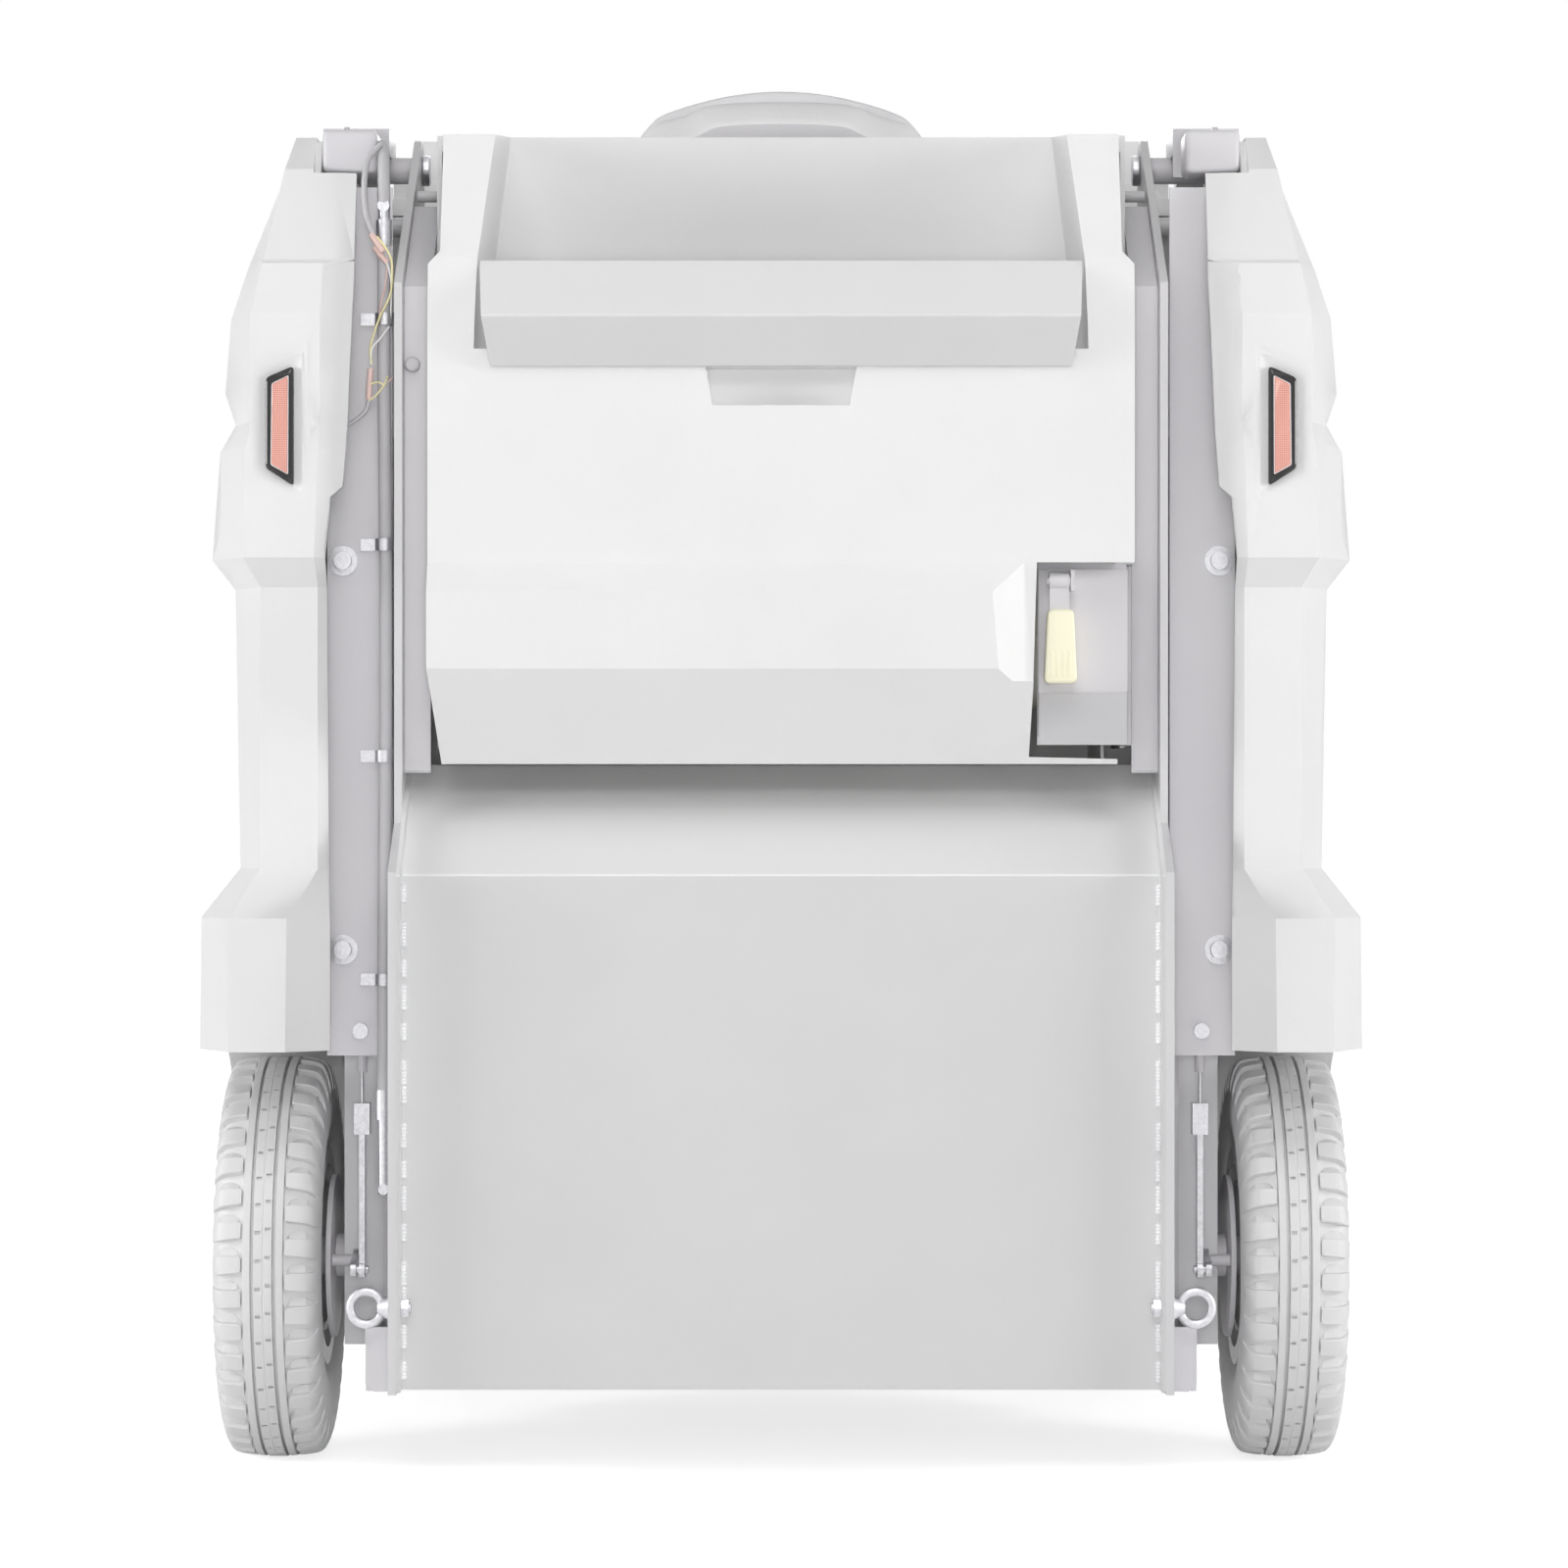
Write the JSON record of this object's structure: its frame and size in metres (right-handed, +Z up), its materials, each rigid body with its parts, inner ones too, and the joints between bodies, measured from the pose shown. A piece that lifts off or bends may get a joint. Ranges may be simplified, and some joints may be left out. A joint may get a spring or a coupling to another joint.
{
  "type": "ride-on floor sweeper",
  "caption": "Ride-on floor sweeper with a rear hopper that tips on side arms, filter hood, driver seat, steered front wheel, roller brush and side brush.",
  "frame": {"origin": "on the floor under the middle of the machine's bounding box", "axes": "+Z up, +Y forward, +X to the machine's right seen from behind"},
  "size_m": [1.176, 2.06, 1.4717],
  "materials": {
    "panel_plastic": "grained",
    "console_plastic": "grained",
    "hopper_steel": "powder coated",
    "frame_steel": "powder coated",
    "bright_steel": "zinc plated",
    "tyre_rubber": "matt",
    "rim_paint": "painted",
    "hose_rubber": "matt",
    "wire_cover": "smooth",
    "lamp_bezel": "gloss",
    "lamp_red": "clear moulded",
    "lamp_clear": "clear moulded",
    "lever_yellow": "smooth",
    "stop_red": "gloss",
    "seat_cover": "grained",
    "control_plastic": "satin",
    "brush_core": "satin",
    "bristle": "bristle",
    "filter_paper": "pleated"
  },
  "bodies": {
    "chassis": {"side_panel_left": "panel_plastic", "side_panel_right": "panel_plastic", "front_cowl": "panel_plastic", "bulkhead": "panel_plastic", "seat_console": "console_plastic", "dashboard": "console_plastic", "main_frame": "frame_steel", "rear_frame_left": "frame_steel", "rear_frame_right": "frame_steel", "skirts": "frame_steel", "deck": "frame_steel", "seat_rails": "frame_steel", "lift_barrels": "frame_steel", "stub_axles": "frame_steel", "steering_column": "frame_steel", "panel_bolts": "frame_steel", "hose_fittings": "bright_steel", "hydraulic_hose": "hose_rubber", "front_bumper": "hose_rubber", "light_wires": "wire_cover", "tail_light_bezels": "lamp_bezel", "tail_light_lenses": "lamp_red", "headlights": "lamp_clear", "battery": "control_plastic"},
    "hopper": {"hopper_bin": "hopper_steel", "hopper_arm_left": "hopper_steel", "hopper_arm_right": "hopper_steel", "pivot_pins": "bright_steel", "filter_cartridge": "filter_paper", "lashing_eyes": "bright_steel", "latch_plate": "frame_steel"},
    "hood": {"filter_hood": "panel_plastic", "bent_plate": "hopper_steel"},
    "shaker_lever": {"filter_lever": "frame_steel", "lever_grip": "lever_yellow"},
    "lift_rod_left": {"lift_rod_left": "bright_steel"},
    "lift_rod_right": {"lift_rod_right": "bright_steel"},
    "rear_wheel_left": {"rear_tyre_left": "tyre_rubber", "rear_rim_left": "rim_paint"},
    "rear_wheel_right": {"rear_tyre_right": "tyre_rubber", "rear_rim_right": "rim_paint"},
    "fork": {"front_fork": "frame_steel"},
    "front_wheel": {"front_tyre": "tyre_rubber", "front_rim": "rim_paint"},
    "steering_wheel": {"steering_wheel": "control_plastic"},
    "main_brush": {"main_brush_core": "brush_core", "main_brush_bristles": "bristle"},
    "side_arm": {"side_brush_arm": "frame_steel"},
    "side_brush": {"side_brush_disc": "brush_core", "side_brush_bristles": "bristle"},
    "seat": {"seat_cushion": "seat_cover", "seat_backrest": "seat_cover"},
    "brake_pedal": {"brake_pedal": "hose_rubber"},
    "drive_pedal": {"drive_pedal": "hose_rubber"},
    "brake_crank_left": {"brake_crank_left": "bright_steel"},
    "brake_crank_right": {"brake_crank_right": "bright_steel"},
    "brake_link_left": {"brake_link_left": "bright_steel"},
    "brake_link_right": {"brake_link_right": "bright_steel"},
    "stop_button": {"stop_button": "stop_red"},
    "hopper_lever": {"hopper_lever": "control_plastic"}
  },
  "joints": [
    {"name": "hopper_lift", "type": "hinge", "parent": "chassis", "child": "hopper", "pos_m": [0, -0.64, 1.348], "axis": [-1, 0, 0], "range_deg": [0, 85]},
    {"name": "hood_open", "type": "hinge", "parent": "hopper", "child": "hood", "pos_m": [0, -0.718, 1.312], "axis": [-1, 0, 0], "range_deg": [0, 60]},
    {"name": "shaker_pull", "type": "hinge", "parent": "hopper", "child": "shaker_lever", "pos_m": [0.277, -0.98, 0.9], "axis": [-1, 0, 0], "range_deg": [0, 60]},
    {"name": "lift_rod_left_slide", "type": "slide", "parent": "chassis", "child": "lift_rod_left", "axis": [0, 0, 1], "range_m": [0, 0.13512]},
    {"name": "lift_rod_right_slide", "type": "slide", "parent": "chassis", "child": "lift_rod_right", "axis": [0, 0, 1], "range_m": [0, 0.13512]},
    {"name": "rear_wheel_left_spin", "type": "hinge", "parent": "chassis", "child": "rear_wheel_left", "pos_m": [-0.52, -0.74, 0.2075], "axis": [1, 0, 0], "continuous": true},
    {"name": "rear_wheel_right_spin", "type": "hinge", "parent": "chassis", "child": "rear_wheel_right", "pos_m": [0.52, -0.74, 0.2075], "axis": [1, 0, 0], "continuous": true},
    {"name": "front_steer", "type": "hinge", "parent": "chassis", "child": "fork", "pos_m": [0, 0.64, 0.4], "axis": [0, 0, 1], "range_deg": [-60, 60]},
    {"name": "front_wheel_spin", "type": "hinge", "parent": "fork", "child": "front_wheel", "pos_m": [0, 0.64, 0.175], "axis": [1, 0, 0], "continuous": true},
    {"name": "steering_turn", "type": "hinge", "parent": "chassis", "child": "steering_wheel", "pos_m": [0, 0.4713, 1.07806], "axis": [0, -0.5547, 0.8321], "range_deg": [-300, 300]},
    {"name": "main_brush_spin", "type": "hinge", "parent": "chassis", "child": "main_brush", "pos_m": [0, -0.395, 0.176], "axis": [1, 0, 0], "continuous": true},
    {"name": "side_arm_lift", "type": "hinge", "parent": "chassis", "child": "side_arm", "pos_m": [0.47, 0.43, 0.275], "axis": [1, 0, 0], "range_deg": [0, 12]},
    {"name": "side_brush_spin", "type": "hinge", "parent": "side_arm", "child": "side_brush", "pos_m": [0.385, 0.7, 0.2], "axis": [0, 0, 1], "continuous": true},
    {"name": "seat_slide", "type": "slide", "parent": "chassis", "child": "seat", "axis": [0, 1, 0], "range_m": [-0.05, 0.05]},
    {"name": "brake_pedal_press", "type": "hinge", "parent": "chassis", "child": "brake_pedal", "pos_m": [-0.19, 0.43, 0.453], "axis": [-1, 0, 0], "range_deg": [0, 12], "stiffness_Nm_per_rad": 20, "springref_deg": -5.73},
    {"name": "drive_pedal_press", "type": "hinge", "parent": "chassis", "child": "drive_pedal", "pos_m": [0.19, 0.43, 0.453], "axis": [-1, 0, 0], "range_deg": [0, 12], "stiffness_Nm_per_rad": 20, "springref_deg": -5.73},
    {"name": "stop_button_press", "type": "slide", "parent": "chassis", "child": "stop_button", "axis": [0, 0, -1], "range_m": [0, 0.005], "stiffness_N_per_m": 800},
    {"name": "hopper_lever_tilt", "type": "hinge", "parent": "chassis", "child": "hopper_lever", "pos_m": [0.2, 0.575, 1], "axis": [1, 0, 0], "range_deg": [-12, 12], "stiffness_Nm_per_rad": 2},
    {"name": "brake_crank_left_turn", "type": "hinge", "parent": "chassis", "child": "brake_crank_left", "pos_m": [-0.437, -0.8, 0.2075], "axis": [-1, 0, 0], "range_deg": [0, 16.01]},
    {"name": "brake_link_left_pull", "type": "slide", "parent": "chassis", "child": "brake_link_left", "axis": [0, 0, 1], "range_m": [0, 0.01113]},
    {"name": "brake_crank_right_turn", "type": "hinge", "parent": "chassis", "child": "brake_crank_right", "pos_m": [0.437, -0.8, 0.2075], "axis": [-1, 0, 0], "range_deg": [0, 16.01]},
    {"name": "brake_link_right_pull", "type": "slide", "parent": "chassis", "child": "brake_link_right", "axis": [0, 0, 1], "range_m": [0, 0.01113]}
  ],
  "couplings": [
    {"joint": "lift_rod_left_slide", "follows": "hopper_lift", "m_per_rad": 0.091079},
    {"joint": "lift_rod_right_slide", "follows": "hopper_lift", "m_per_rad": 0.091079},
    {"joint": "steering_turn", "follows": "front_steer", "ratio": 5},
    {"joint": "brake_crank_left_turn", "follows": "brake_pedal_press", "ratio": 1.3333},
    {"joint": "brake_link_left_pull", "follows": "brake_pedal_press", "m_per_rad": 0.05316},
    {"joint": "brake_crank_right_turn", "follows": "brake_pedal_press", "ratio": 1.3333},
    {"joint": "brake_link_right_pull", "follows": "brake_pedal_press", "m_per_rad": 0.05316}
  ]
}
